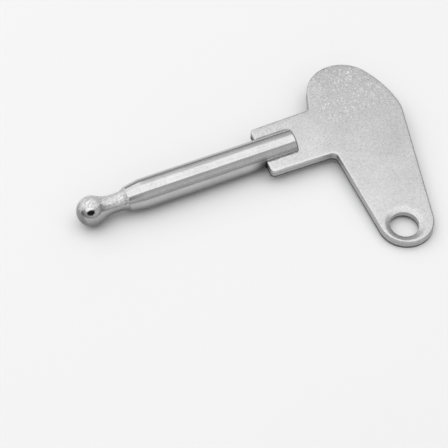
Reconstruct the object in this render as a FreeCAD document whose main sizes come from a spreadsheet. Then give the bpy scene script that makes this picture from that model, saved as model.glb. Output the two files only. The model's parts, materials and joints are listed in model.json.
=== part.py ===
"""Push-in pin key: a turned shank pin with a ball end, slotted at the rear over a stamped bow plate.

Frame: millimetres, +Z up. The origin is on the pin's axis, in the plane of the plate's two ears.
The pin runs along X with its ball towards -X, and the plate lies in the XY plane with its leg towards -Y.
"""
import FreeCAD, Part
import Sketcher
import math
import os

# ends of a sketch curve, and the sketch's own axes and origin
START, END, CENTRE = 1, 2, 3
X_AXIS, Y_AXIS = -1, -2
ORIGIN = (-1, 1)

DIMENSIONS = {
    # shank pin, turned from round bar
    "pin_diameter": 6.0,
    "pin_overhang": 6.95,            # from the ear plane to the rear end
    "rear_edge_radius": 0.35,
    "ball_diameter": 5.9,
    "ball_reach": 34.6,              # from the ear plane to the ball's centre
    "neck_diameter": 3.64,
    "neck_blend_radius": 5.0,        # hollow between the ball and the neck
    "neck_reach": 29.25,             # from the ear plane to the end of the straight neck
    "shoulder_hollow_radius": 2.3,
    "shoulder_slope": 40.0,          # steepest angle of the shoulder
    "shoulder_edge_radius": 0.45,
    "lead_slope": 10.5,              # shallow taper that guides the pin into its keyhole
    "lead_blend_radius": 5.0,
    # slot in the pin that straddles the plate
    "slot_width": 2.0,
    "slot_clearance": 0.1,           # from the ear plane to the slot's floor
    "fork_spread": 0.1,              # the plate holds each half of the slotted end open by this angle
    # bow plate, stamped from sheet
    "plate_thickness": 1.9,
    "ear_width": 11.2,
    "ear_corner_radius": 0.9,
    "tongue_taper": 1.2,             # each edge of the tongue opens by this angle
    "tongue_root_radius": 0.8,       # where the tongue's upper edge meets the lobe
    "flank_slope": 69.3,             # the lobe's flank, from the X axis
    "crown_radius": 7.4,
    "crown_along": 21.36,
    "crown_across": 7.2,
    "crown_end_angle": 27.7,         # where the crown runs into the long outer curve
    "outer_curve_radius": 23.5,
    "outer_corner_radius": 7.0,
    "leg_lean": 14.8,                # the leg's outer edge, from the Y axis
    "leg_inner_edge": 13.35,
    "leg_root_radius": 1.1,
    "leg_end_radius": 5.3,
    "leg_end_across": 24.8,
    "rolled_edge_radius": 0.35,      # edge on the side that the punch entered
    "broken_edge_radius": 0.12,      # edge on the other side
    # key-ring hole, with a dish that the punch left round its rim
    "hole_radius": 2.72,
    "hole_along": 17.93,
    "hole_across": 25.65,
    "dish_width": 1.1,
    "dish_depth": 0.35,
    # braze that fills the slot
    "bead_radius": 0.4,
}


def cell(name):
    """Expression that reads one cell of the sheet."""
    return "Dimensions." + name


def make_sheet(doc):
    sheet = doc.addObject("Spreadsheet::Sheet", "Dimensions")
    for row, (name, value) in enumerate(DIMENSIONS.items(), start=1):
        sheet.set(f"A{row}", name)
        sheet.set(f"B{row}", str(value))
        sheet.setAlias(f"B{row}", name)
    doc.recompute()


def direction(degrees):
    return FreeCAD.Vector(math.cos(math.radians(degrees)), math.sin(math.radians(degrees)), 0)


def point(across, up):
    return FreeCAD.Vector(across, up, 0)


def arc(centre, radius, start, end):
    """Arc that runs counter-clockwise from the angle start to the angle end, in degrees."""
    circle = Part.Circle(centre, FreeCAD.Vector(0, 0, 1), radius)
    return Part.ArcOfCircle(circle, math.radians(start), math.radians(end))


def new_sketch(body, name, role):
    plane = next(f for f in body.Origin.OriginFeatures if f.Role == role)
    sketch = body.newObject("Sketcher::SketchObject", name)
    sketch.AttachmentSupport = [(plane, "")]
    sketch.MapMode = "FlatFace"
    return sketch


def draw_loop(sketch, pieces):
    """Adds a closed outline. Each piece is (name, curve, entry, exit, joint to the next piece)."""
    numbers = {name: sketch.addGeometry(curve) for name, curve, *_ in pieces}
    for current, following in zip(pieces, pieces[1:] + pieces[:1]):
        name, _, _, leaving, joint = current
        sketch.addConstraint(
            Sketcher.Constraint(joint, numbers[name], leaving, numbers[following[0]], following[2])
        )
    return numbers


def bind(sketch, value, kind, *items):
    """Adds a dimension, starting from the drawn size, and binds it to the sheet."""
    if kind == "Radius":
        drawn = sketch.Geometry[items[0]].Radius
    elif kind == "Angle":
        curve = sketch.Geometry[items[0]]
        run = curve.EndPoint - curve.StartPoint
        drawn = math.atan2(run.y, run.x)
    else:
        reach = sketch.getPoint(*items[2:]) - sketch.getPoint(*items[:2])
        drawn = reach.x if kind == "DistanceX" else reach.y
    number = sketch.addConstraint(Sketcher.Constraint(kind, *items, drawn))
    sketch.setExpression(f"Constraints[{number}]", value)


def rule(sketch, kind, *items):
    sketch.addConstraint(Sketcher.Constraint(kind, *items))


def draw_pin_profile(sketch):
    """Half of the pin's lengthwise section: ball, neck, shoulder, lead taper and shank."""
    d = DIMENSIONS
    shank, neck, ball = d["pin_diameter"] / 2, d["neck_diameter"] / 2, d["ball_diameter"] / 2
    slope, lead = d["shoulder_slope"], d["lead_slope"]
    ball_centre = point(-d["ball_reach"], 0)
    rise = neck + d["neck_blend_radius"]
    blend_angle = math.degrees(math.asin(rise / (ball + d["neck_blend_radius"])))
    blend_centre = ball_centre + direction(blend_angle) * (ball + d["neck_blend_radius"])
    hollow_centre = point(-d["neck_reach"], neck + d["shoulder_hollow_radius"])
    hollow_end = hollow_centre + direction(270 + slope) * d["shoulder_hollow_radius"]
    edge_centre = hollow_end - direction(90 + slope) * d["shoulder_edge_radius"]
    lead_start = edge_centre + direction(90 + lead) * d["shoulder_edge_radius"]
    blend_drop = d["lead_blend_radius"] * (1 - math.cos(math.radians(lead)))
    lead_run = (shank - blend_drop - lead_start.y) / math.tan(math.radians(lead))
    lead_end = point(lead_start.x + lead_run, shank - blend_drop)
    lead_centre = lead_end - direction(90 + lead) * d["lead_blend_radius"]
    rear = d["pin_overhang"]
    fork_start = point(-d["slot_clearance"], shank)
    fork_normal = direction(90 + d["fork_spread"])
    rear_x = rear - d["rear_edge_radius"]
    rear_drop = (d["rear_edge_radius"] + (rear_x - fork_start.x) * fork_normal.x) / fork_normal.y
    rear_centre = point(rear_x, shank - rear_drop)
    fork_end = rear_centre + fork_normal * d["rear_edge_radius"]
    tip = -d["ball_reach"] - ball

    g = draw_loop(sketch, [
        ("ball", arc(ball_centre, ball, blend_angle, 180), END, START, "Tangent"),
        ("blend", arc(blend_centre, d["neck_blend_radius"], 180 + blend_angle, 270),
         START, END, "Tangent"),
        ("neck", Part.LineSegment(point(blend_centre.x, neck), point(-d["neck_reach"], neck)),
         START, END, "Tangent"),
        ("hollow", arc(hollow_centre, d["shoulder_hollow_radius"], 270, 270 + slope),
         START, END, "Tangent"),
        ("edge", arc(edge_centre, d["shoulder_edge_radius"], 90 + lead, 90 + slope),
         END, START, "Tangent"),
        ("lead", Part.LineSegment(lead_start, lead_end), START, END, "Tangent"),
        ("lead_blend", arc(lead_centre, d["lead_blend_radius"], 90, 90 + lead),
         END, START, "Tangent"),
        ("shank", Part.LineSegment(point(lead_centre.x, shank), fork_start),
         START, END, "Coincident"),
        ("fork", Part.LineSegment(fork_start, fork_end), START, END, "Tangent"),
        ("rear_edge", arc(rear_centre, d["rear_edge_radius"], 0, 90 + d["fork_spread"]),
         END, START, "Tangent"),
        ("rear_face", Part.LineSegment(point(rear, rear_centre.y), point(rear, 0)),
         START, END, "Coincident"),
        ("axis", Part.LineSegment(point(rear, 0), point(tip, 0)), START, END, "Coincident"),
    ])
    rule(sketch, "PointOnObject", g["axis"], START, X_AXIS)
    rule(sketch, "PointOnObject", g["axis"], END, X_AXIS)
    rule(sketch, "PointOnObject", g["ball"], CENTRE, X_AXIS)
    rule(sketch, "Horizontal", g["neck"])
    rule(sketch, "Horizontal", g["shank"])
    rule(sketch, "Vertical", g["rear_face"])
    bind(sketch, cell("ball_diameter") + " / 2", "Radius", g["ball"])
    bind(sketch, cell("neck_blend_radius"), "Radius", g["blend"])
    bind(sketch, cell("shoulder_hollow_radius"), "Radius", g["hollow"])
    bind(sketch, cell("shoulder_edge_radius"), "Radius", g["edge"])
    bind(sketch, cell("lead_blend_radius"), "Radius", g["lead_blend"])
    bind(sketch, cell("rear_edge_radius"), "Radius", g["rear_edge"])
    bind(sketch, "-" + cell("ball_reach"), "DistanceX", *ORIGIN, g["ball"], CENTRE)
    bind(sketch, "-" + cell("neck_reach"), "DistanceX", *ORIGIN, g["neck"], END)
    bind(sketch, cell("neck_diameter") + " / 2", "DistanceY", *ORIGIN, g["neck"], END)
    bind(sketch, cell("shoulder_hollow_radius") + " * sin(" + cell("shoulder_slope") + " * 1 deg)",
         "DistanceX", g["hollow"], START, g["hollow"], END)
    bind(sketch, cell("lead_slope") + " * 1 deg", "Angle", g["lead"])
    bind(sketch, cell("pin_diameter") + " / 2", "DistanceY", *ORIGIN, g["shank"], END)
    bind(sketch, "-" + cell("slot_clearance"), "DistanceX", *ORIGIN, g["shank"], END)
    bind(sketch, cell("fork_spread") + " * 1 deg", "Angle", g["fork"])
    bind(sketch, cell("pin_overhang"), "DistanceX", *ORIGIN, g["rear_face"], END)


def draw_slot(sketch):
    """Side view of the slot, open at the pin's rear end."""
    d = DIMENSIONS
    floor, mouth = -d["slot_clearance"], 2 * d["pin_overhang"]
    half = d["slot_width"] / 2
    corners = [point(floor, -half), point(mouth, -half), point(mouth, half), point(floor, half)]
    names = ["lower", "mouth", "upper", "floor"]
    sides = zip(names, corners, corners[1:] + corners[:1])
    g = draw_loop(sketch, [
        (name, Part.LineSegment(start, end), START, END, "Coincident") for name, start, end in sides
    ])
    rule(sketch, "Horizontal", g["lower"])
    rule(sketch, "Horizontal", g["upper"])
    rule(sketch, "Vertical", g["mouth"])
    rule(sketch, "Symmetric", g["floor"], START, g["floor"], END, X_AXIS)
    bind(sketch, cell("slot_width"), "DistanceY", g["floor"], END, g["floor"], START)
    bind(sketch, "-" + cell("slot_clearance"), "DistanceX", *ORIGIN, g["floor"], END)
    bind(sketch, "2 * " + cell("pin_overhang"), "DistanceX", *ORIGIN, g["mouth"], END)


def make_shank_pin(doc):
    body = doc.addObject("PartDesign::Body", "ShankPin")
    body.Label = "shank_pin"
    profile = new_sketch(body, "PinProfile", "XZ_Plane")
    draw_pin_profile(profile)
    turned = body.newObject("PartDesign::Revolution", "TurnedPin")
    turned.Profile = profile
    turned.ReferenceAxis = (profile, ["H_Axis"])
    turned.Angle = 360
    doc.recompute()
    slot = new_sketch(body, "SlotSideView", "XZ_Plane")
    draw_slot(slot)
    cut = body.newObject("PartDesign::Pocket", "PlateSlot")
    cut.Profile = slot
    cut.Type = "ThroughAll"
    cut.SideType = "Symmetric"
    doc.recompute()
    check_cut(turned, cut)
    return body


def draw_bow_outline(sketch):
    """Tongue with two ears, rounded lobe above it and a tapering leg below it."""
    d = DIMENSIONS
    half, corner, taper = d["ear_width"] / 2, d["ear_corner_radius"], d["tongue_taper"]
    spread = math.tan(math.radians(taper))
    inner, root = d["leg_inner_edge"], d["leg_root_radius"]
    lean, flank = d["leg_lean"], d["flank_slope"]
    crown_centre = point(d["crown_along"], d["crown_across"])
    flank_top = crown_centre + direction(flank + 90) * d["crown_radius"]
    curve_centre = crown_centre - direction(d["crown_end_angle"]) * (
        d["outer_curve_radius"] - d["crown_radius"]
    )
    end_centre = point(inner + d["leg_end_radius"], -d["leg_end_across"])
    outer_normal = direction(-lean)
    outer_offset = end_centre.dot(outer_normal) + d["leg_end_radius"]
    # the outer corner touches the long curve from inside and the leg's edge from within
    corner_gap = d["outer_curve_radius"] - d["outer_corner_radius"]
    reach = outer_offset - d["outer_corner_radius"] - curve_centre.dot(outer_normal)
    corner_turn = math.degrees(math.acos(reach / corner_gap)) - lean
    corner_centre = curve_centre + direction(corner_turn) * corner_gap
    # the root fillet touches the tongue's upper edge and the flank
    flank_normal = direction(flank + 90)
    fillet = d["tongue_root_radius"]
    base = half + fillet
    flank_offset = flank_normal.dot(flank_top) + fillet
    root_x = (flank_offset - flank_normal.y * base) / (flank_normal.x + flank_normal.y * spread)
    tongue_root = point(root_x, base + spread * root_x)
    leg_root = point(inner - root, -(half + spread * inner) - root)

    g = draw_loop(sketch, [
        ("ears", Part.LineSegment(point(0, half - corner), point(0, corner - half)),
         START, END, "Tangent"),
        ("lower_ear", arc(point(corner, corner - half), corner, 180, 270 - taper),
         START, END, "Tangent"),
        ("lower_edge", Part.LineSegment(point(corner, -half), leg_root + direction(90 - taper) * root),
         START, END, "Tangent"),
        ("leg_root", arc(leg_root, root, 0, 90 - taper), END, START, "Tangent"),
        ("inner_edge", Part.LineSegment(point(inner, leg_root.y), point(inner, end_centre.y)),
         START, END, "Tangent"),
        ("leg_end", arc(end_centre, d["leg_end_radius"], 180, 360 - lean), START, END, "Tangent"),
        ("outer_edge", Part.LineSegment(end_centre + outer_normal * d["leg_end_radius"],
                                        corner_centre + outer_normal * d["outer_corner_radius"]),
         START, END, "Tangent"),
        ("outer_corner", arc(corner_centre, d["outer_corner_radius"], -lean, corner_turn),
         START, END, "Tangent"),
        ("outer_curve", arc(curve_centre, d["outer_curve_radius"], corner_turn,
                            d["crown_end_angle"]), START, END, "Tangent"),
        ("crown", arc(crown_centre, d["crown_radius"], d["crown_end_angle"], flank + 90),
         START, END, "Tangent"),
        ("flank", Part.LineSegment(flank_top, tongue_root - flank_normal * fillet),
         START, END, "Tangent"),
        ("tongue_root", arc(tongue_root, fillet, 270 + taper, 270 + flank), END, START, "Tangent"),
        ("upper_edge", Part.LineSegment(tongue_root + direction(270 + taper) * fillet,
                                        point(corner, half)), START, END, "Tangent"),
        ("upper_ear", arc(point(corner, half - corner), corner, 90 + taper, 180),
         START, END, "Tangent"),
    ])
    rule(sketch, "PointOnObject", g["ears"], START, Y_AXIS)
    rule(sketch, "Symmetric", g["ears"], START, g["ears"], END, X_AXIS)
    rule(sketch, "Equal", g["lower_ear"], g["upper_ear"])
    rule(sketch, "Vertical", g["inner_edge"])
    bind(sketch, cell("ear_width") + " - 2 * " + cell("ear_corner_radius"),
         "DistanceY", g["ears"], END, g["ears"], START)
    for name in ("ear_corner_radius", "tongue_root_radius", "crown_radius", "outer_curve_radius",
                 "outer_corner_radius", "leg_end_radius", "leg_root_radius"):
        curve = {"ear_corner_radius": "lower_ear"}.get(name, name.removesuffix("_radius"))
        bind(sketch, cell(name), "Radius", g[curve])
    bind(sketch, "-" + cell("tongue_taper") + " * 1 deg", "Angle", g["lower_edge"])
    bind(sketch, "(" + cell("tongue_taper") + " - 180) * 1 deg", "Angle", g["upper_edge"])
    bind(sketch, "(" + cell("flank_slope") + " - 180) * 1 deg", "Angle", g["flank"])
    bind(sketch, "(90 - " + cell("leg_lean") + ") * 1 deg", "Angle", g["outer_edge"])
    bind(sketch, cell("crown_along"), "DistanceX", *ORIGIN, g["crown"], CENTRE)
    bind(sketch, cell("crown_across"), "DistanceY", *ORIGIN, g["crown"], CENTRE)
    bind(sketch, cell("crown_radius") + " * sin(" + cell("crown_end_angle") + " * 1 deg)",
         "DistanceY", g["crown"], CENTRE, g["crown"], START)
    bind(sketch, cell("leg_inner_edge"), "DistanceX", *ORIGIN, g["inner_edge"], END)
    bind(sketch, "-" + cell("leg_end_across"), "DistanceY", *ORIGIN, g["leg_end"], CENTRE)


def edges_at_height(feature, height):
    """Names of the edges that lie in the plane at this height."""
    names = []
    for number, edge in enumerate(feature.Shape.Edges, start=1):
        box = edge.BoundBox
        if abs(box.ZMin - height) < 1e-6 and abs(box.ZMax - height) < 1e-6:
            names.append(f"Edge{number}")
    return names


def round_edges(body, name, base, height, radius):
    fillet = body.newObject("PartDesign::Fillet", name)
    fillet.Base = (base, edges_at_height(base, height))
    fillet.setExpression("Radius", radius)
    return fillet


def draw_dish(sketch):
    """Section of the ring that the dish takes out of the hole's upper rim, from the hole's axis."""
    d = DIMENSIONS
    rim, top = d["hole_radius"], d["plate_thickness"] / 2
    width, depth = d["dish_width"], d["dish_depth"]
    radius = (width ** 2 + depth ** 2) / (2 * depth)
    sweep = math.degrees(math.asin(width / radius))
    bore, clear = rim / 2, top + depth
    g = draw_loop(sketch, [
        ("dish", arc(point(rim + width, top - radius), radius, 90, 90 + sweep),
         START, END, "Coincident"),
        ("ledge", Part.LineSegment(point(rim, top - depth), point(bore, top - depth)),
         START, END, "Coincident"),
        ("bore", Part.LineSegment(point(bore, top - depth), point(bore, clear)),
         START, END, "Coincident"),
        ("lid", Part.LineSegment(point(bore, clear), point(rim + width, clear)),
         START, END, "Coincident"),
        ("outside", Part.LineSegment(point(rim + width, clear), point(rim + width, top)),
         START, END, "Coincident"),
    ])
    rule(sketch, "Horizontal", g["ledge"])
    rule(sketch, "Vertical", g["bore"])
    rule(sketch, "Horizontal", g["lid"])
    rule(sketch, "Vertical", g["outside"])
    bind(sketch, cell("hole_radius"), "DistanceX", *ORIGIN, g["dish"], END)
    bind(sketch, cell("dish_width"), "DistanceX", g["dish"], END, g["dish"], START)
    bind(sketch, cell("plate_thickness") + " / 2", "DistanceY", *ORIGIN, g["dish"], START)
    bind(sketch, cell("dish_depth"), "DistanceY", g["dish"], END, g["dish"], START)
    rule(sketch, "Vertical", g["dish"], CENTRE, g["dish"], START)
    bind(sketch, cell("hole_radius") + " / 2", "DistanceX", *ORIGIN, g["bore"], END)
    bind(sketch, cell("dish_depth"), "DistanceY", g["outside"], END, g["outside"], START)


def make_bow_plate(doc):
    body = doc.addObject("PartDesign::Body", "BowPlate")
    body.Label = "bow_plate"
    outline = new_sketch(body, "BowOutline", "XY_Plane")
    draw_bow_outline(outline)
    blank = body.newObject("PartDesign::Pad", "Blank")
    blank.Profile = outline
    blank.SideType = "Symmetric"
    blank.setExpression("Length", cell("plate_thickness"))
    doc.recompute()
    top = DIMENSIONS["plate_thickness"] / 2
    rolled = round_edges(body, "RolledEdge", blank, top, cell("rolled_edge_radius"))
    doc.recompute()
    broken = round_edges(body, "BrokenEdge", rolled, -top, cell("broken_edge_radius"))
    doc.recompute()
    check_cut(rolled, broken)

    circle = new_sketch(body, "RingHole", "XY_Plane")
    centre = point(DIMENSIONS["hole_along"], -DIMENSIONS["hole_across"])
    hole = circle.addGeometry(Part.Circle(centre, FreeCAD.Vector(0, 0, 1), DIMENSIONS["hole_radius"]))
    bind(circle, cell("hole_radius"), "Radius", hole)
    bind(circle, cell("hole_along"), "DistanceX", *ORIGIN, hole, CENTRE)
    bind(circle, "-" + cell("hole_across"), "DistanceY", *ORIGIN, hole, CENTRE)
    punched = body.newObject("PartDesign::Pocket", "PunchedHole")
    punched.Profile = circle
    punched.Type = "ThroughAll"
    punched.SideType = "Symmetric"
    doc.recompute()
    check_cut(broken, punched)

    section = new_sketch(body, "DishSection", "XZ_Plane")
    section.setExpression("AttachmentOffset.Base.x", cell("hole_along"))
    section.setExpression("AttachmentOffset.Base.z", cell("hole_across"))
    draw_dish(section)
    dish = body.newObject("PartDesign::Groove", "RimDish")
    dish.Profile = section
    dish.ReferenceAxis = (section, ["V_Axis"])
    dish.Angle = 360
    doc.recompute()
    check_cut(punched, dish)

    rim = [
        f"Edge{number}" for number, edge in enumerate(dish.Shape.Edges, start=1)
        if abs(edge.BoundBox.ZMax + top) < 1e-6 and hasattr(edge.Curve, "Radius")
        and abs(edge.Curve.Radius - DIMENSIONS["hole_radius"]) < 1e-6
    ]
    lower_rim = body.newObject("PartDesign::Fillet", "LowerRim")
    lower_rim.Base = (dish, rim)
    lower_rim.setExpression("Radius", cell("broken_edge_radius"))
    doc.recompute()
    check_cut(dish, lower_rim)
    return body


def make_braze_joint(doc, pin, plate):
    """Braze that fills the slot round the tongue, with a small bead along each side of the pin."""
    length = "(" + cell("slot_clearance") + " + " + cell("pin_overhang") + " - " + cell(
        "rear_edge_radius") + ")"
    envelope = doc.addObject("Part::Cone", "ForkEnvelope")
    envelope.setExpression("Radius1", cell("pin_diameter") + " / 2")
    envelope.setExpression("Radius2", cell("pin_diameter") + " / 2 + " + length + " * tan("
                           + cell("fork_spread") + " * 1 deg)")
    envelope.setExpression("Height", length)
    envelope.Placement.Rotation = FreeCAD.Rotation(FreeCAD.Vector(0, 1, 0), 90)
    envelope.setExpression("Placement.Base.x", "-" + cell("slot_clearance"))
    slot = doc.addObject("Part::Box", "SlotSpace")
    slot.setExpression("Length", length)
    slot.setExpression("Width", cell("pin_diameter"))
    slot.setExpression("Height", cell("slot_width"))
    slot.setExpression("Placement.Base.x", "-" + cell("slot_clearance"))
    slot.setExpression("Placement.Base.y", "-" + cell("pin_diameter") + " / 2")
    slot.setExpression("Placement.Base.z", "-" + cell("slot_width") + " / 2")
    space = doc.addObject("Part::Common", "SlotInPin")
    space.Base, space.Tool = envelope, slot
    filler = doc.addObject("Part::Cut", "SlotFiller")
    filler.Base, filler.Tool = space, plate

    rise = "(" + cell("plate_thickness") + " / 2 + " + cell("bead_radius") + ")"
    centre_reach = "(" + cell("pin_diameter") + " / 2 + " + cell("bead_radius") + ")"
    across = "sqrt(" + centre_reach + " ^ 2 - " + rise + " ^ 2)"
    start, run = cell("rolled_edge_radius"), cell("pin_overhang") + " - " + cell("rear_edge_radius")
    block = doc.addObject("Part::Box", "BeadBlock")
    block.setExpression("Length", run + " - " + start)
    block.setExpression("Width", cell("bead_radius"))
    block.setExpression("Height", rise + " * " + cell("pin_diameter") + " / 2 / " + centre_reach
                        + " - " + cell("plate_thickness") + " / 2")
    block.setExpression("Placement.Base.x", start)
    block.setExpression("Placement.Base.y", "-" + across)
    block.setExpression("Placement.Base.z", cell("plate_thickness") + " / 2")
    hollow = doc.addObject("Part::Cylinder", "BeadHollow")
    hollow.setExpression("Radius", cell("bead_radius"))
    hollow.setExpression("Height", run)
    hollow.Placement.Rotation = FreeCAD.Rotation(FreeCAD.Vector(0, 1, 0), 90)
    hollow.setExpression("Placement.Base.y", "-" + across)
    hollow.setExpression("Placement.Base.z", rise)
    outside = doc.addObject("Part::Cut", "BeadOutsidePin")
    outside.Base, outside.Tool = block, pin
    bead = doc.addObject("Part::Cut", "UpperBead")
    bead.Base, bead.Tool = outside, hollow
    beads = [bead]
    for name, normal in (("AcrossPin", (0, 1, 0)), ("UnderPlate", (0, 0, 1))):
        for source in list(beads):
            mirror = doc.addObject("Part::Mirroring", f"{name}{len(beads)}")
            mirror.Source = source
            mirror.Normal = FreeCAD.Vector(*normal)
            beads.append(mirror)
    joint = doc.addObject("Part::MultiFuse", "BrazeJoint")
    joint.Label = "braze_joint"
    joint.Shapes = [filler] + beads
    joint.Refine = True
    doc.recompute()
    return joint


def check_cut(before, after):
    """A cut that removes nothing shows no error, so its volume is compared."""
    if after.Shape.Volume >= before.Shape.Volume:
        raise RuntimeError(f"{after.Name} removed no material")


def check_document(doc, parts):
    for item in doc.Objects:
        if {"Invalid", "Error"} & set(item.State):
            raise RuntimeError(f"{item.Name} failed: {item.State}")
        if item.TypeId == "Sketcher::SketchObject" and not item.FullyConstrained:
            raise RuntimeError(f"{item.Name} isn't fully constrained")
    for part in parts:
        if part.Shape.isNull() or not part.Shape.isValid() or len(part.Shape.Solids) != 1:
            raise RuntimeError(f"{part.Label} isn't one valid solid")


doc = FreeCAD.newDocument("PinKey")
make_sheet(doc)
shank_pin = make_shank_pin(doc)
bow_plate = make_bow_plate(doc)
braze_joint = make_braze_joint(doc, shank_pin, bow_plate)
doc.recompute()
parts = [shank_pin, bow_plate, braze_joint]
check_document(doc, parts)
os.makedirs("parts", exist_ok=True)
for part in parts:
    part.Shape.exportStep(f"parts/{part.Label}.step")
    box = part.Shape.BoundBox
    print(part.Label, f"volume {part.Shape.Volume:.2f}",
          f"X {box.XMin:.2f}..{box.XMax:.2f} Y {box.YMin:.2f}..{box.YMax:.2f}",
          f"Z {box.ZMin:.2f}..{box.ZMax:.2f}")
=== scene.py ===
"""Looks of the push-in pin key: detailed meshes, procedural metals, studio light and camera.

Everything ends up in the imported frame, in metres. Sizes are in millimetres, and MM turns them into metres.
"""
import json
import math

import bmesh
import bpy
import numpy as np
from mathutils import Matrix, Vector, noise
from mathutils.geometry import delaunay_2d_cdt


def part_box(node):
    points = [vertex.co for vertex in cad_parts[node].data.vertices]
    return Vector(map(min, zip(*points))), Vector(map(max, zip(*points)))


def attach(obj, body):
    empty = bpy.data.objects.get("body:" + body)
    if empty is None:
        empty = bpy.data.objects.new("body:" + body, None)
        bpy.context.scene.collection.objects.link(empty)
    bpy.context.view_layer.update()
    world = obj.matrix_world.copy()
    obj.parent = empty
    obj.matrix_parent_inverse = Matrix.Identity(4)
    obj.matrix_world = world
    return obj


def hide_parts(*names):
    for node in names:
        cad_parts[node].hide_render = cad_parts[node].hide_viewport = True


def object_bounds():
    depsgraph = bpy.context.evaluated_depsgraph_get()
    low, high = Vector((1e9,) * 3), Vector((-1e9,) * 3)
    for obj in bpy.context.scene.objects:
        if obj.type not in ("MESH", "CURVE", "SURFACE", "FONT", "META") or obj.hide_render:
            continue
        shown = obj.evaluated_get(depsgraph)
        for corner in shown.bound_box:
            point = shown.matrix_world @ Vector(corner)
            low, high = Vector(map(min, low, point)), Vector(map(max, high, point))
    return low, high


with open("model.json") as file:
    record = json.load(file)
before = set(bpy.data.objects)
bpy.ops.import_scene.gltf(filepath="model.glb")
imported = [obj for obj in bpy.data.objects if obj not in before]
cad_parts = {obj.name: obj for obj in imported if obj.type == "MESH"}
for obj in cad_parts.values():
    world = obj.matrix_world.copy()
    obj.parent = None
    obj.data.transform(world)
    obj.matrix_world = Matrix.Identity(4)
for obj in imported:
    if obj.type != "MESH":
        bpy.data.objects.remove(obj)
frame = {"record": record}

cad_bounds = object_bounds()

MM = 0.001

# ---------------------------------------------------------------- sizes in millimetres and degrees
# read from the frame
MOUNTS = {mount["name"]: mount for mount in frame["record"]["mounts"]}
PIN_LOW, PIN_HIGH = (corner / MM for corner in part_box("shank_pin"))
PLATE_LOW, PLATE_HIGH = (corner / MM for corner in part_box("bow_plate"))
TIP, REAR = PIN_LOW.x, PIN_HIGH.x
TOP = (PLATE_HIGH.z - PLATE_LOW.z) / 2
SHANK_R = MOUNTS["shank"]["dims"]["r_mm"]
HOLE_R = MOUNTS["key_ring_hole"]["dims"]["r_mm"]
HOLE = Vector(MOUNTS["key_ring_hole"]["pos_m"]).xy / MM

# the pin, repeated from the CAD
BALL_R = 2.95
BALL_X = TIP + BALL_R
NECK_R = 1.82
NECK_BLEND = 5.0
NECK_END = -29.25
HOLLOW = 2.3
SHOULDER_SLOPE = 40.0
SHOULDER_EDGE = 0.45
LEAD_SLOPE = 10.5
LEAD_BLEND = 5.0
REAR_EDGE = 0.35
SLOT_HALF = 1.0
SLOT_FLOOR = -0.1

# the plate's outline, repeated from the CAD
EAR_HALF = 5.6
EAR_CORNER = 0.9
TAPER = 1.2
TONGUE_ROOT = 0.8
FLANK = 69.3
CROWN = Vector((21.36, 7.2))
CROWN_R = 7.4
CROWN_END = 27.7
CURVE_R = 23.5
CORNER_R = 7.0
LEAN = 14.8
INNER = 13.35
LEG_ROOT = 1.1
LEG_END_R = 5.3
LEG_END_Y = -24.8

# the plate's edges and dish, and the braze
ROLL = 0.35
BROKEN = 0.12
DISH_WIDTH = 1.1
DISH_DEPTH = 0.35
DISH_CURVE = 1.35
BEAD = 0.4

# what the meshes add: the ball end's rougher surface, the burnished share of the cut edge, and how far
# the beads of braze sink in
ROUGH_END, ROUGH_FADE = -26.5, 2.0
BURNISHED = 0.42
SUNK_IN_PIN, SUNK_IN_PLATE = 0.05, 0.03

# how finely the meshes are divided
ROLL_STEPS = 8
PIN_ACROSS, PIN_THROUGH = 112, 14
HOLE_STEPS = 120
TOP_SPACING, BOTTOM_SPACING = 0.6, 0.9

# where the ball end's finish gives way to the turned one
BALL_END_FINISH = -27.4


def heading(degrees):
    return Vector((math.cos(math.radians(degrees)), math.sin(math.radians(degrees))))


def wander(point, scale, seed=0.0):
    """Smooth noise from -1 to 1 that is the same every run."""
    return noise.noise(Vector(point) * scale + Vector((seed, 2.7 * seed, -1.3 * seed)))


def mesh_object(name, builder, sharp=35.0):
    """Turns a filled bmesh in millimetres into a smooth-shaded object in metres that rides on the key."""
    bmesh.ops.remove_doubles(builder, verts=builder.verts, dist=1e-4)
    bmesh.ops.dissolve_degenerate(builder, edges=builder.edges, dist=1e-5)
    bmesh.ops.recalc_face_normals(builder, faces=builder.faces)
    bmesh.ops.scale(builder, vec=(MM, MM, MM), verts=builder.verts)
    data = bpy.data.meshes.new(name)
    builder.to_mesh(data)
    builder.free()
    data.shade_smooth()
    data.set_sharp_from_angle(angle=math.radians(sharp))
    thing = bpy.data.objects.new(name, data)
    bpy.context.scene.collection.objects.link(thing)
    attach(thing, "root")
    return thing


def bridge(builder, first, second, closed=True):
    """Quads between two rows of vertices."""
    count = len(first)
    faces = []
    for i in range(count if closed else count - 1):
        j = (i + 1) % count
        corners = []
        for vertex in (first[i], first[j], second[j], second[i]):
            if vertex not in corners:
                corners.append(vertex)
        if len(corners) > 2:
            faces.append(builder.faces.new(corners))
    return faces


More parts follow.
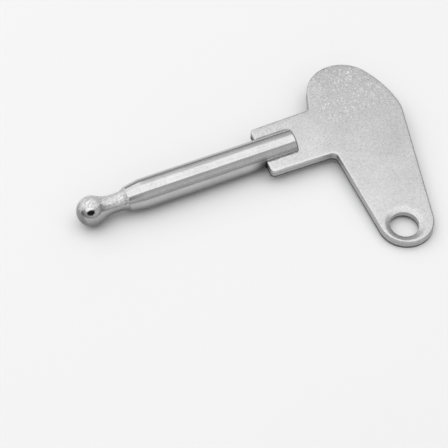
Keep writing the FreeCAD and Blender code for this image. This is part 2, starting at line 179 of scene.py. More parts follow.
# ---------------------------------------------------------------- shank pin
def pin_profile():
    """Half section as (x, radius), from the tip to the slot's floor."""
    rise = NECK_R + NECK_BLEND
    blend_angle = math.degrees(math.asin(rise / (BALL_R + NECK_BLEND)))
    blend = Vector((BALL_X, 0)) + heading(blend_angle) * (BALL_R + NECK_BLEND)
    hollow = Vector((NECK_END, NECK_R + HOLLOW))
    edge = hollow + heading(270 + SHOULDER_SLOPE) * HOLLOW - heading(90 + SHOULDER_SLOPE) * SHOULDER_EDGE
    lead_start = edge + heading(90 + LEAD_SLOPE) * SHOULDER_EDGE
    blend_drop = LEAD_BLEND * (1 - math.cos(math.radians(LEAD_SLOPE)))
    run = (SHANK_R - blend_drop - lead_start.y) / math.tan(math.radians(LEAD_SLOPE))
    lead_end = Vector((lead_start.x + run, SHANK_R - blend_drop))
    lead = lead_end - heading(90 + LEAD_SLOPE) * LEAD_BLEND
    rows = []

    def arc(centre, radius, start, end, count):
        for angle in np.linspace(start, end, count):
            rows.append(centre + heading(angle) * radius)

    arc(Vector((BALL_X, 0)), BALL_R, 180, blend_angle, 54)
    arc(blend, NECK_BLEND, 180 + blend_angle, 270, 20)
    arc(hollow, HOLLOW, 270, 270 + SHOULDER_SLOPE, 18)
    arc(edge, SHOULDER_EDGE, 90 + SHOULDER_SLOPE, 90 + LEAD_SLOPE, 10)
    arc(lead, LEAD_BLEND, 90 + LEAD_SLOPE, 90, 8)
    for x in np.linspace(lead.x, SLOT_FLOOR, 64)[1:]:
        rows.append(Vector((x, SHANK_R)))
    return rows


def surface_of_pin(x, radius, angle):
    """A point on the turned surface, with the slight unevenness that tumbling and plating leave."""
    y, z = radius * math.cos(angle), radius * math.sin(angle)
    ball_end = min(max((ROUGH_END - x) / ROUGH_FADE, 0.0), 1.0)
    uneven = 0.0022 * wander((x * 0.35, y, z), 0.45, 3.0)
    uneven += ball_end * 0.010 * wander((x, y, z), 1.1, 7.0)
    uneven += ball_end * 0.0045 * wander((x, y, z), 2.6, 5.0)
    grow = 1.0 + uneven / max(radius, 0.4)
    return Vector((x, y * grow, z * grow))


def build_fork_half(builder, first_row, half_turn, across):
    """One half of the slotted end: the outside, the slot's flat side and the end face."""
    steps = [(x, SHANK_R) for x in np.linspace(SLOT_FLOOR, REAR - REAR_EDGE, 18)[1:]]
    for angle in np.linspace(90, 0, 9)[1:]:
        corner = Vector((REAR - REAR_EDGE, SHANK_R - REAR_EDGE)) + heading(angle) * REAR_EDGE
        steps.append((corner.x, corner.y))
    steps.append((REAR, SHANK_R - REAR_EDGE - 0.05))
    rows = [first_row]
    for x, radius in steps:
        reach = math.asin(SLOT_HALF / radius)
        rows.append([builder.verts.new(surface_of_pin(x, radius, angle + half_turn))
                     for angle in np.linspace(reach, math.pi - reach, across + 1)])
    for near, far in zip(rows, rows[1:]):
        bridge(builder, near, far, closed=False)
    for near, far in zip(rows[:-3], rows[1:-2]):
        builder.faces.new((near[0], far[0], far[-1], near[-1]))
    near, far, last = rows[-3:]
    builder.faces.new((near[0], far[0], last[0], last[-1], far[-1], near[-1]))
    builder.faces.new(last)


def build_pin():
    builder = bmesh.new()
    gap = math.asin(SLOT_HALF / SHANK_R)
    across, through = PIN_ACROSS, PIN_THROUGH
    upper = np.linspace(gap, math.pi - gap, across + 1)[:-1]
    left = np.linspace(math.pi - gap, math.pi + gap, through + 1)[:-1]
    ring = np.concatenate([upper, left, upper + math.pi, left + math.pi])
    profile = pin_profile()
    tip = builder.verts.new(surface_of_pin(profile[0].x, 0.0, 0.0))
    rows = [[builder.verts.new(surface_of_pin(x, radius, angle)) for angle in ring]
            for x, radius in profile[1:]]
    for i, vertex in enumerate(rows[0]):
        builder.faces.new((tip, rows[0][(i + 1) % len(ring)], vertex))
    for near, far in zip(rows, rows[1:]):
        bridge(builder, near, far)
    last = rows[-1] + rows[-1][:1]
    turn = across + through
    builder.faces.new(last[across:turn + 1] + last[turn + across:])
    build_fork_half(builder, last[:across + 1], 0.0, across)
    build_fork_half(builder, last[turn:turn + across + 1], math.pi, across)
    for face in builder.faces:
        if face.calc_center_median().x < BALL_END_FINISH:
            face.material_index = 1
    return mesh_object("turned_pin", builder)


# ---------------------------------------------------------------- bow plate
def bow_outline():
    """The stamped outline, counter-clockwise: points and outward normals."""
    half, ear = EAR_HALF, EAR_CORNER
    low_ear, high_ear = Vector((ear, ear - half)), Vector((ear, half - ear))
    low_normal, high_normal = heading(270 - TAPER), heading(90 + TAPER)
    root_x = INNER - LEG_ROOT
    root_y = low_ear.y + (ear + LEG_ROOT - (root_x - low_ear.x) * low_normal.x) / low_normal.y
    leg_root = Vector((root_x, root_y))
    leg_end = Vector((INNER + LEG_END_R, LEG_END_Y))
    outer_normal = heading(-LEAN)
    curve = CROWN - heading(CROWN_END) * (CURVE_R - CROWN_R)
    reach = leg_end.dot(outer_normal) + LEG_END_R - CORNER_R - curve.dot(outer_normal)
    turn = math.degrees(math.acos(reach / (CURVE_R - CORNER_R))) - LEAN
    corner = curve + heading(turn) * (CURVE_R - CORNER_R)
    flank_normal = heading(FLANK + 90)
    flank_top = CROWN + flank_normal * CROWN_R
    sides = Matrix(((flank_normal.x, flank_normal.y), (high_normal.x, high_normal.y)))
    offsets = Vector((flank_top.dot(flank_normal) + TONGUE_ROOT,
                      high_ear.dot(high_normal) + ear + TONGUE_ROOT))
    tongue_root = sides.inverted() @ offsets
    points, normals = [], []

    def line(start, end):
        along = (end - start).normalized()
        for share in np.linspace(0, 1, max(2, round((end - start).length / 0.3)))[:-1]:
            points.append(start.lerp(end, share))
            normals.append(Vector((along.y, -along.x)))

    def arc(centre, radius, start, end):
        side = 1.0 if end > start else -1.0
        length = radius * math.radians(abs(end - start))
        step = min(0.3, 0.14 * radius)
        for angle in np.linspace(start, end, max(6, round(length / step)))[:-1]:
            points.append(centre + heading(angle) * radius)
            normals.append(heading(angle) * side)

    line(Vector((0, half - ear)), Vector((0, ear - half)))
    arc(low_ear, ear, 180, 270 - TAPER)
    line(low_ear + low_normal * ear, leg_root - low_normal * LEG_ROOT)
    arc(leg_root, LEG_ROOT, 90 - TAPER, 0)
    line(Vector((INNER, leg_root.y)), Vector((INNER, leg_end.y)))
    arc(leg_end, LEG_END_R, 180, 360 - LEAN)
    line(leg_end + outer_normal * LEG_END_R, corner + outer_normal * CORNER_R)
    arc(corner, CORNER_R, -LEAN, turn)
    arc(curve, CURVE_R, turn, CROWN_END)
    arc(CROWN, CROWN_R, CROWN_END, FLANK + 90)
    line(flank_top, tongue_root - flank_normal * TONGUE_ROOT)
    arc(tongue_root, TONGUE_ROOT, 270 + FLANK, 270 + TAPER)
    line(tongue_root - high_normal * TONGUE_ROOT, high_ear + high_normal * ear)
    arc(high_ear, ear, 90 + TAPER, 180)
    return points, normals


def inside(points, loop):
    """Which of the points lie inside the closed loop."""
    x, y = points[:, 0], points[:, 1]
    result = np.zeros(len(points), bool)
    for (x0, y0), (x1, y1) in zip(loop, np.roll(loop, -1, axis=0)):
        crosses = (y0 > y) != (y1 > y)
        with np.errstate(divide="ignore", invalid="ignore"):
            result ^= crosses & (x < (x1 - x0) * (y - y0) / (y1 - y0) + x0)
    return result


def fill_face(builder, outer, hole, spacing):
    """Fills the flat between the outer loop and the hole's loop with even triangles."""
    loop = np.array([vertex.co.xy[:] for vertex in outer])
    ring = np.array([vertex.co.xy[:] for vertex in hole])
    height = outer[0].co.z
    low, high = loop.min(0), loop.max(0)
    rows = np.arange(low[1], high[1], spacing * 0.866)
    grid = np.array([(x + (i % 2) * spacing / 2, y) for i, y in enumerate(rows)
                     for x in np.arange(low[0], high[0], spacing)])
    grid = grid[inside(grid, loop)]
    edge = np.concatenate([loop, ring])
    gap = np.sqrt(((grid[:, None, :] - edge[None, :, :]) ** 2).sum(2)).min(1)
    centre = ring.mean(0)
    hole_radius = np.linalg.norm(ring[0] - centre)
    clear = np.linalg.norm(grid - centre, axis=1) > hole_radius
    grid = grid[(gap > spacing * 0.6) & clear]
    points = [Vector(p) for p in np.concatenate([edge, grid])]
    n, m = len(loop), len(ring)
    edges = [(i, (i + 1) % n) for i in range(n)] + [(n + i, n + (i + 1) % m) for i in range(m)]
    verts, _, faces, origins, _, _ = delaunay_2d_cdt(points, edges, [], 1, 1e-6)
    known = list(outer) + list(hole)
    made = []
    for place, source in zip(verts, origins):
        if source and source[0] < n + m:
            made.append(known[source[0]])
        else:
            made.append(builder.verts.new((place.x, place.y, height)))
    for face in faces:
        middle = sum((Vector(verts[i]) for i in face), Vector((0, 0))) / len(face)
        if (middle - Vector(centre)).length > hole_radius:
            builder.faces.new([made[i] for i in face])


def edge_rows():
    """The plate's edge from its top to its bottom: (inset from the outline, height, share of shear marks)."""
    rows = []
    for angle in np.linspace(90, 0, ROLL_STEPS + 1):
        rows.append((ROLL * (1 - math.cos(math.radians(angle))),
                     TOP - ROLL * (1 - math.sin(math.radians(angle))), 0.0))
    wall_top, wall_low = TOP - ROLL, BROKEN - TOP
    for share in np.linspace(0, 1, 15)[1:-1]:
        rows.append((0.0, wall_top + (wall_low - wall_top) * share, min(1.0, share * 5, (1 - share) * 8)))
    for angle in np.linspace(0, -90, 5):
        rows.append((BROKEN * (1 - math.cos(math.radians(angle))),
                     -TOP + BROKEN * (1 + math.sin(math.radians(angle))), 0.0))
    return rows


def shear_marks(along, height, amount):
    """How far the sheared edge stands in: a smooth burnished band above a rougher broken one."""
    wall_top, wall_low = TOP - ROLL, BROKEN - TOP
    share = (wall_top - height) / (wall_top - wall_low)
    border = BURNISHED + 0.07 * wander((along, 0, 0), 0.5, 11.0)
    broken = min(max((share - border) / 0.12, 0.0), 1.0)
    rough = 0.5 + 0.5 * wander((along, height * 0.6, 0), 3.2, 13.0)
    drag = 0.004 * wander((along, height * 0.15, 0), 4.5, 17.0)
    return amount * (broken * (0.028 + 0.022 * rough) + 0.006 + drag)


def build_plate():
    builder = bmesh.new()
    points, normals = bow_outline()
    lengths = [0.0]
    for a, b in zip(points, points[1:]):
        lengths.append(lengths[-1] + (b - a).length)
    loops = []
    for inset, height, amount in edge_rows():
        row = []
        for point, normal, along in zip(points, normals, lengths):
            depth = inset + (shear_marks(along, height, amount) if amount else 0.0)
            place = point - normal * depth
            row.append(builder.verts.new((place.x, place.y, height)))
        loops.append(row)
    wall = []
    for i, (first, second) in enumerate(zip(loops, loops[1:])):
        faces = bridge(builder, first, second)
        if i >= ROLL_STEPS:
            wall.extend(faces)

    # the hole's dish, wall and lower rim, from the top down
    section = [(HOLE_R + DISH_WIDTH * t, TOP - DISH_DEPTH * (1 - t) ** DISH_CURVE)
               for t in np.linspace(1, 0, 13)]
    dish_rows = len(section) - 1
    section += [(HOLE_R, z) for z in np.linspace(TOP - DISH_DEPTH, BROKEN - TOP, 9)[1:]]
    section += [(HOLE_R + BROKEN * (1 - math.cos(a)), -TOP + BROKEN * (1 - math.sin(a)))
                for a in np.linspace(0, math.pi / 2, 5)[1:]]
    rings = []
    for reach, height in section:
        ring = []
        for angle in np.linspace(0, 2 * math.pi, HOLE_STEPS, endpoint=False):
            ring.append(builder.verts.new((HOLE.x + reach * math.cos(angle),
                                           HOLE.y + reach * math.sin(angle), height)))
        rings.append(ring)
    for i, (first, second) in enumerate(zip(rings, rings[1:])):
        faces = bridge(builder, first, second)
        if i >= dish_rows:
            wall.extend(faces)
    fill_face(builder, loops[0], rings[0], TOP_SPACING)
    fill_face(builder, loops[-1], rings[-1], BOTTOM_SPACING)
    for face in wall:
        face.material_index = 1
    for vertex in builder.verts:
        x, y, z = vertex.co
        vertex.co.z += 0.004 * wander((x, y, 0), 0.16, 19.0) + 0.0012 * wander((x, y, z), 0.9, 23.0)
    return mesh_object("stamped_bow", builder, sharp=50.0)


# ---------------------------------------------------------------- braze
def build_braze():
    """A thin hollow bead where each face of the plate meets the pin, a little uneven along its length."""
    builder = bmesh.new()
    for side in (1, -1):
        for face in (1, -1):
            rows = []
            for x in np.linspace(ROLL + 0.05, REAR - REAR_EDGE, 42):
                bead = BEAD * (1.0 + 0.3 * wander((x, side * 3, face * 2), 0.9, 29.0))
                rise = TOP + bead
                reach = math.sqrt((SHANK_R + bead) ** 2 - rise ** 2)
                pin_angle = math.degrees(math.atan2(rise, reach))
                row = []
                for angle in np.linspace(180 + pin_angle, 270, 9):
                    place = Vector((reach, rise)) + heading(angle) * bead
                    row.append((place.x, place.y))
                row.append((reach, TOP - SUNK_IN_PLATE))
                row.append((reach - 2 * bead, TOP - SUNK_IN_PLATE))
                inner = heading(pin_angle) * (SHANK_R - SUNK_IN_PIN)
                row.append((inner.x, inner.y))
                rows.append([builder.verts.new((x, side * y, face * z)) for y, z in row])
            for first, second in zip(rows, rows[1:]):
                bridge(builder, first, second)
            builder.faces.new(rows[0])
            builder.faces.new(rows[-1])
    return mesh_object("braze_beads", builder)


# ---------------------------------------------------------------- materials
# the grey that painted shade mixes towards
SHADE_GREY = 0.03


class Nodes:
    """Short way to add and link the nodes of a material or a world."""

    def __init__(self, owner, shader="Principled BSDF"):
        owner.use_nodes = True
        self.owner = owner
        self.tree = owner.node_tree
        self.shader = self.tree.nodes[shader]

    def add(self, kind, inputs=None, **settings):
        node = self.tree.nodes.new(kind)
        for key, value in settings.items():
            setattr(node, key, value)
        for key, value in (inputs or {}).items():
            if isinstance(value, bpy.types.NodeSocket):
                self.tree.links.new(value, node.inputs[key])
            else:
                node.inputs[key].default_value = value
        return node

    def place(self):
        """The object's own coordinates, in metres."""
        return self.add("ShaderNodeTexCoord").outputs["Object"]

    def axes(self, vector=None):
        """The three parts of a vector, or of the place when none is given."""
        source = self.place() if vector is None else vector
        return self.add("ShaderNodeSeparateXYZ", {0: source}).outputs

    def scaled(self, scale):
        return self.add("ShaderNodeMapping", {"Vector": self.place(), "Scale": scale}).outputs["Vector"]

    def noise(self, scale, detail=2.0, roughness=0.5):
        return self.add("ShaderNodeTexNoise", {"Vector": self.scaled(scale), "Scale": 1.0, "Detail": detail,
                                               "Roughness": roughness}).outputs["Fac"]

    def streaks(self, turn, seed, scale):
        """Noise drawn out along one direction in the plate's plane."""
        turned = self.add("ShaderNodeMapping", {"Vector": self.place(), "Rotation": (0, 0, turn),
                                                "Location": (seed, seed, 0)}, vector_type="TEXTURE")
        drawn = self.add("ShaderNodeMapping", {"Vector": turned.outputs["Vector"], "Scale": scale})
        return self.add("ShaderNodeTexNoise", {"Vector": drawn.outputs["Vector"], "Scale": 1.0,
                                               "Detail": 1.0}).outputs["Fac"]

    def ramp(self, factor, stops):
        """Greys between the stops, each given as (factor, grey)."""
        node = self.add("ShaderNodeValToRGB", {"Fac": factor})
        while len(node.color_ramp.elements) < len(stops):
            node.color_ramp.elements.new(0.5)
        for element, (place, grey) in zip(node.color_ramp.elements, stops):
            element.position = place
            element.color = (grey, grey, grey, 1.0)
        return node.outputs["Color"]

    def math(self, operation, first, second=0.0):
        return self.add("ShaderNodeMath", {0: first, 1: second}, operation=operation).outputs[0]

    def span(self, value, start, end, low, high):
        """Smooth step from low at start to high at end."""
        inputs = {"Value": value, "From Min": start, "From Max": end, "To Min": low, "To Max": high}
        return self.add("ShaderNodeMapRange", inputs, interpolation_type="SMOOTHSTEP").outputs["Result"]

    def mixed(self, first, second, share):
        """Grey or colour mixed by share; a plain number stands for that grey."""
        if not isinstance(second, bpy.types.NodeSocket):
            second = (second, second, second, 1.0)
        return self.add("ShaderNodeMix", {0: share, 6: first, 7: second}, data_type="RGBA").outputs[2]

    # mixes a colour towards the grey of painted shade
    def darkened(self, colour, painted_shade):
        return self.mixed(colour, SHADE_GREY, painted_shade)

    def bump(self, height, strength, distance, below=None):
        inputs = {"Height": height, "Strength": strength, "Distance": distance}
        if below is not None:
            inputs["Normal"] = below
        return self.add("ShaderNodeBump", inputs).outputs["Normal"]

    def set(self, name, value):
        if isinstance(value, bpy.types.NodeSocket):
            self.tree.links.new(value, self.shader.inputs[name])
        else:
            self.shader.inputs[name].default_value = value


def painted_shade_on_pin(n):
    """Painted shade on the pin: dark just in front of the ears, in line with the plate, and round its end."""
    x, _, z = n.axes()
    along = n.span(x, -3.5 * MM, -0.2 * MM, 0.0, 0.85)
    across = n.span(n.math("ABSOLUTE", z), 0.7 * MM, 2.3 * MM, 1.0, 0.0)
    front = n.math("MULTIPLY", along, n.math("MULTIPLY", across, n.span(x, 0.0, 0.4 * MM, 1.0, 0.0)))
    # painted shade round the pin's end, where it meets the plate
    return n.math("ADD", front, n.span(x, (REAR - 0.30) * MM, (REAR - 0.08) * MM, 0.0, 0.8))


def painted_shade_on_ears(n):
    """Painted shade: the end of each ear is dark next to the pin, and the upper one all along."""
    x, y, _ = n.axes()
    along = n.span(x, 0.3 * MM, 1.0 * MM, 0.95, 0.0)
    lower = n.span(y, -(SHANK_R + 1.2) * MM, -SHANK_R * MM, 0.1, 1.0)
    upper = n.span(y, SHANK_R * MM, (SHANK_R + 1.5) * MM, 1.0, 0.92)
    return n.math("MULTIPLY", along, n.math("MULTIPLY", lower, upper))


def turned_steel():
    """Plated steel with painted shade on its underside, and highlights blurred along the pin by very fine
    turning marks.
    """
    n = Nodes(bpy.data.materials.new("turned_plated_steel"))
    n.set("Metallic", 1.0)
    streaks = n.noise((70, 2300, 2300), 3.0, 0.6)
    clouds = n.noise((300, 500, 500), 3.0, 0.6)
    grain = n.noise((3600, 3600, 3600), 3.0, 0.7)
    tone = n.math("ADD", n.math("MULTIPLY", streaks, 0.35), n.math("MULTIPLY", clouds, 0.25))
    tone = n.math("ADD", tone, n.math("MULTIPLY", grain, 0.40))
    bright = n.ramp(tone, [(0.32, 0.40), (0.68, 0.60)])
    # painted shade: a darker copy of the same metal's tone
    shaded_tone = n.ramp(tone, [(0.32, 0.18), (0.68, 0.27)])
    height = n.axes()["Z"]
    # painted shade: the pin's underside takes the darker copy
    base = n.mixed(shaded_tone, bright, n.span(height, -1.1 * MM, 1.2 * MM, 0.0, 1.0))
    # painted shade in front of the ears and round the pin's end
    n.set("Base Color", n.darkened(base, painted_shade_on_pin(n)))
    n.set("Roughness", n.ramp(streaks, [(0.3, 0.19), (0.7, 0.24)]))
    n.set("Anisotropic", 1.0)
    n.set("Anisotropic Rotation", 0.25)
    tangent = n.add("ShaderNodeTangent", direction_type="RADIAL", axis="X")
    n.set("Tangent", tangent.outputs["Tangent"])
    n.set("Normal", n.bump(streaks, 0.10, 0.00002))
    return n.owner


def tumbled_ball_end():
    """The ball and neck: matt and finely pitted on top, where a paler tone is a painted highlight; bright
    lower down; painted shade at the tip and below.
    """
    n = Nodes(bpy.data.materials.new("tumbled_plated_steel"))
    n.set("Metallic", 1.0)
    pits = n.noise((2600, 2600, 2600), 3.0, 0.65)
    patches = n.noise((650, 650, 650), 2.0, 0.5)
    facing = n.add("ShaderNodeTexCoord").outputs["Normal"]
    x, y, z = n.axes(facing)
    side = n.math("ADD", n.math("MULTIPLY", y, 0.45), n.math("MULTIPLY", z, 0.9))
    uneven = n.math("ADD", side, n.math("SUBTRACT", patches, 0.5))
    neck = n.span(n.axes()["X"], -31.5 * MM, -29.5 * MM, 0.0, 0.35)
    # the upper side is made matt and given a paler tone: real roughness with a painted highlight
    frost_and_highlight = n.span(n.math("ADD", uneven, neck), 0.46, 0.64, 0.0, 1.0)
    upward = n.span(side, -0.7, 0.4, 0.0, 1.0)
    # painted shade on the side that faces the tip
    painted_shade_at_tip = n.span(x, -0.75, -0.5, 0.5, 0.0)
    bright = n.ramp(pits, [(0.3, 0.48), (0.7, 0.60)])
    # painted shade: a darker copy of the tone for surfaces facing down and towards the front
    shaded_tone = n.ramp(pits, [(0.3, 0.18), (0.7, 0.24)])
    base = n.darkened(n.mixed(shaded_tone, bright, upward), painted_shade_at_tip)
    # painted highlight: the paler tone on the upper side
    n.set("Base Color", n.mixed(base, n.ramp(pits, [(0.36, 0.50), (0.64, 0.82)]), frost_and_highlight))
    n.set("Roughness", n.span(frost_and_highlight, 0.0, 1.0, 0.13, 0.62))
    n.set("Normal", n.bump(pits, 0.60, 0.00004))
    return n.owner


def stamped_steel():
    """Satin sheet, paler on the tongue, with fine grain, nick marks on the lobe painted pale as glints, and
    hairline scratches.
    """
    n = Nodes(bpy.data.materials.new("stamped_plated_steel"))
    n.set("Metallic", 1.0)
    clouds = n.noise((140, 140, 140), 3.0, 0.5)
    grain = n.noise((3600, 3600, 3600), 4.0, 0.75)
    x, y, _ = n.axes()
    tone = n.math("ADD", n.math("MULTIPLY", clouds, 0.2), n.math("MULTIPLY", grain, 0.8))
    tone = n.math("ADD", tone, n.span(x, 2 * MM, 26 * MM, 0.08, -0.03))
    base = n.ramp(tone, [(0.36, 0.38), (0.76, 0.69)])
    nicks_and_glints = 0.0
    for turn, seed in ((0.3, 2.0), (-1.0, 5.0), (1.2, 8.0)):
        marks = n.streaks(turn, seed, (1700, 4500, 1700))
        nicks_and_glints = n.math("ADD", nicks_and_glints, n.ramp(marks, [(0.665, 0.0), (0.72, 1.0)]))
    lobe = n.math("MULTIPLY", n.span(x, 12 * MM, 17 * MM, 0.3, 1.0), n.span(y, -4 * MM, 7 * MM, 0.1, 1.0))
    # painted glints: the lobe's nick marks get a pale base colour
    n.set("Base Color", n.mixed(base, 0.80, n.math("MULTIPLY", nicks_and_glints, lobe)))
    n.set("Roughness", n.ramp(grain, [(0.3, 0.26), (0.7, 0.38)]))
    relief = n.bump(grain, 0.5, 0.00004)
    for turn, seed in ((0.35, 3.0), (-0.9, 9.0), (1.9, 14.0)):
        marks = n.streaks(turn, seed, (160, 4200, 160))
        relief = n.bump(n.ramp(marks, [(0.70, 0.0), (0.78, 1.0)]), 0.5, 0.00001, relief)
    n.set("Normal", relief)
    return n.owner


def sheared_edge():
    """The cut edge, from the top down: burnished band painted darker as a painted reflection of dim
    surroundings, paler torn band, and near-black painted shade along the bottom where the burr is.
    """
    n = Nodes(bpy.data.materials.new("sheared_plated_steel"))
    n.set("Metallic", 1.0)
    drag = n.noise((2400, 2400, 260), 3.0, 0.65)
    level = n.span(n.axes()["Z"], -TOP * MM, TOP * MM, 0.0, 1.0)
    uneven = n.math("ADD", level, n.math("MULTIPLY", drag, 0.12))
    # painted reflection and painted shade: the burnished band is darker for what it mirrors, and the bottom
    # band is near black as shade
    bands = n.ramp(uneven, [(0.15, 0.05), (0.24, 0.44), (0.50, 0.55), (0.66, 0.40), (0.90, 0.38),
                            (1.0, 0.60)])
    # painted shade on the ends of the ears
    n.set("Base Color", n.darkened(n.mixed(bands, 0.62, n.math("MULTIPLY", drag, 0.3)), painted_shade_on_ears(n)))
    n.set("Roughness", n.ramp(uneven, [(0.5, 0.50), (0.7, 0.32)]))
    n.set("Normal", n.bump(drag, 0.5, 0.00004))
    return n.owner


def brazed_joint():
    """Thin braze under the plating, matte and darkened by flux."""
    n = Nodes(bpy.data.materials.new("plated_braze"))
    n.set("Metallic", 1.0)
    spots = n.noise((1500, 1500, 1500), 3.0, 0.6)
    n.set("Base Color", n.ramp(spots, [(0.3, 0.13), (0.7, 0.32)]))
    n.set("Roughness", n.ramp(spots, [(0.3, 0.3), (0.7, 0.5)]))
    n.set("Normal", n.bump(spots, 0.4, 0.00004))
    return n.owner


def pale_floor():
    n = Nodes(bpy.data.materials.new("pale_floor"))
    tone = n.noise((9, 9, 9), 2.0, 0.5)
    n.set("Base Color", n.ramp(tone, [(0.0, 0.82), (1.0, 0.84)]))
    n.set("Roughness", 0.85)
    return n.owner


# ---------------------------------------------------------------- the key
pin = build_pin()
pin.data.materials.append(turned_steel())
pin.data.materials.append(tumbled_ball_end())
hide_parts("shank_pin")
plate = build_plate()
plate.data.materials.append(stamped_steel())
plate.data.materials.append(sheared_edge())
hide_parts("bow_plate")
braze = build_braze()
braze.data.materials.append(brazed_joint())
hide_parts("braze_joint")

# ---------------------------------------------------------------- floor
# the plane that touches the pin and the tip of the leg, in millimetres
REST_SLOPE = -0.0688
REST_HEIGHT = -3.0072
# the floor leans between these two, and levels out over FLOOR_FADE beyond each
FLOOR_FRONT, FLOOR_BACK, FLOOR_FADE = -38.0, 25.0, 30.0
FLOOR_REACH = [300, 900, 2500, 12000]


def floor_height(y):
    """The key lies on its pin and its leg's tip, so the sheet leans under it and is level further out."""
    end = min(max(y, FLOOR_FRONT), FLOOR_BACK)
    beyond = y - end
    share = min(abs(beyond) / FLOOR_FADE, 1.0)
    eased = math.copysign(FLOOR_FADE * (share - share * share / 2), beyond)
    return REST_HEIGHT + REST_SLOPE * (end + eased)


def build_floor():
    builder = bmesh.new()
    negative = [-reach for reach in reversed(FLOOR_REACH)]
    ys = [*negative, -120, *np.linspace(FLOOR_FRONT - FLOOR_FADE, FLOOR_FRONT, 13), -20, 0, 15,
          *np.linspace(FLOOR_BACK, FLOOR_BACK + FLOOR_FADE, 13), 120, *FLOOR_REACH]
    xs = [*negative, 0, *FLOOR_REACH]
    rows = [[builder.verts.new((x, y, floor_height(y))) for x in xs] for y in ys]
    for first, second in zip(rows, rows[1:]):
        bridge(builder, first, second, closed=False)
    bmesh.ops.scale(builder, vec=(MM, MM, MM), verts=builder.verts)
    data = bpy.data.meshes.new("floor")
    builder.to_mesh(data)
    builder.free()
    data.shade_smooth()
    sheet = bpy.data.objects.new("floor", data)
    bpy.context.scene.collection.objects.link(sheet)
    sheet.data.materials.append(pale_floor())


build_floor()


def direction_to(azimuth, elevation):
    """Unit vector towards an azimuth and elevation in degrees, counted from the front."""
    azimuth, elevation = math.radians(azimuth), math.radians(elevation)
    return Vector((math.cos(elevation) * math.sin(azimuth), -math.cos(elevation) * math.cos(azimuth),
                   math.sin(elevation)))


# ---------------------------------------------------------------- camera
# millimetres and degrees; the aim is counted from the middle of the CAD box, and NEAREST is in metres
AIM_OFFSET = Vector((-9.35, -4.53, 0))
CAMERA_AZIMUTH, CAMERA_ELEVATION = -22.716, 56.598
CAMERA_DISTANCE = 209.4
SENSOR, LENS, NEAREST = 36.0, 90.27, 0.005


def build_camera():
    low, high = cad_bounds
    back = direction_to(CAMERA_AZIMUTH, CAMERA_ELEVATION)
    data = bpy.data.cameras.new("camera")
    data.sensor_width = SENSOR
    data.lens = LENS
    data.clip_start = NEAREST
    camera = bpy.data.objects.new("camera", data)
    camera.location = (low + high) / 2 + AIM_OFFSET * MM + back * (CAMERA_DISTANCE * MM)
    camera.rotation_euler = back.to_track_quat("Z", "Y").to_euler()
    bpy.context.scene.collection.objects.link(camera)
    bpy.context.scene.camera = camera


build_camera()

# ---------------------------------------------------------------- light
# the softboxes' height above the origin, in metres
SOFTBOX_HEIGHT = 0.60
# the world's grey where the camera sees it, and how much its walls dim to both sides and behind the key
BACKDROP_GREY = 0.72
DIM_SIDEWAYS, DIM_BEHIND = 0.45, 0.16


def overhead_panel(name, near_edge, far_edge, left, right, radiance):
    """A level softbox that shines down.

    It fills the space between two elevations in degrees, counted from the camera's side over the top, and
    between a left and a right side in metres. Its face shines with the given radiance.
    """
    near, far = (-SOFTBOX_HEIGHT / math.tan(math.radians(angle)) for angle in (near_edge, far_edge))
    data = bpy.data.lights.new(name, "AREA")
    data.shape = "RECTANGLE"
    data.size, data.size_y = right - left, far - near
    data.energy = radiance * math.pi * data.size * data.size_y
    lamp = bpy.data.objects.new(name, data)
    lamp.location = ((left + right) / 2, (near + far) / 2, SOFTBOX_HEIGHT)
    bpy.context.scene.collection.objects.link(lamp)


overhead_panel("softbox", 65.5, 124.0, -0.65, 0.55, 1.10)
overhead_panel("skirt_right", 124.0, 141.0, 0.1, 0.8, 0.20)
overhead_panel("skirt_left", 124.0, 157.0, -1.3, 0.1, 0.88)


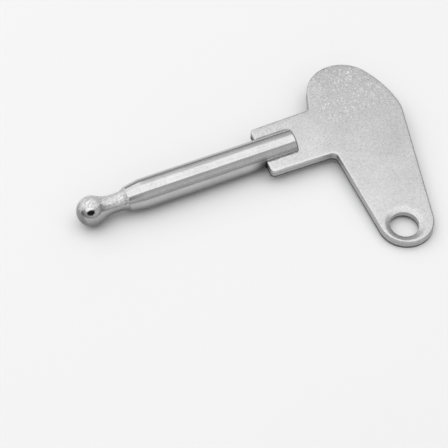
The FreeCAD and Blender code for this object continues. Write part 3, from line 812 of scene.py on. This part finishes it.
def build_world():
    """Walls that light the key, dimmer towards the horizon, to the left and right and behind it.

    Seen directly, as a backdrop above the floor's far edge, they are evenly pale.
    """
    world = bpy.data.worlds.new("studio")
    bpy.context.scene.world = world
    n = Nodes(world, "Background")
    direction = n.add("ShaderNodeTexCoord").outputs["Generated"]
    x, y, z = n.axes(direction)
    seen = n.add("ShaderNodeLightPath").outputs["Is Camera Ray"]
    walls = n.ramp(z, [(0.0, 0.34), (0.25, 0.56), (0.55, 0.76), (0.82, 0.62)])
    n.set("Color", n.mixed(walls, BACKDROP_GREY, seen))
    sideways = n.math("MULTIPLY", n.math("MULTIPLY", x, x), DIM_SIDEWAYS)
    away = n.math("MULTIPLY", y, DIM_BEHIND)
    dimmed = n.math("MULTIPLY", n.math("ADD", sideways, away), n.math("SUBTRACT", 1.0, seen))
    n.set("Strength", n.math("SUBTRACT", 1.0, dimmed))


build_world()

bpy.context.scene.view_settings.view_transform = "Standard"

# millimetres and degrees, as seen from the middle of the ball
FLAG_SIZE = Vector((17.0, 10.2))
FLAG_DISTANCE = 16
FLAG_AZIMUTH, FLAG_ELEVATION, FLAG_TILT = -21.0, 42.0, 15.0


def build_flag():
    """A small black flag close to the ball, seen only in its mirror finish, like the front of a camera."""
    builder = bmesh.new()
    bmesh.ops.create_circle(builder, cap_ends=True, segments=48, radius=0.5)
    bmesh.ops.scale(builder, vec=(FLAG_SIZE.x * MM, FLAG_SIZE.y * MM, 1.0), verts=builder.verts)
    data = bpy.data.meshes.new("black_flag")
    builder.to_mesh(data)
    builder.free()
    flag = bpy.data.objects.new("black_flag", data)
    toward = direction_to(FLAG_AZIMUTH, FLAG_ELEVATION)
    flag.location = Vector((BALL_X, 0, 0)) * MM + toward * (FLAG_DISTANCE * MM)
    tilt = Matrix.Rotation(math.radians(FLAG_TILT), 4, "Z")
    flag.rotation_euler = (toward.to_track_quat("Z", "Y").to_matrix().to_4x4() @ tilt).to_euler()
    flag.visible_camera = False
    flag.visible_diffuse = False
    flag.visible_shadow = False
    n = Nodes(bpy.data.materials.new("black_cloth"))
    n.set("Base Color", n.ramp(n.noise((900, 900, 900)), [(0.0, 0.005), (1.0, 0.015)]))
    n.set("Roughness", 0.9)
    n.set("Specular IOR Level", 0.0)
    flag.data.materials.append(n.owner)
    bpy.context.scene.collection.objects.link(flag)


build_flag()
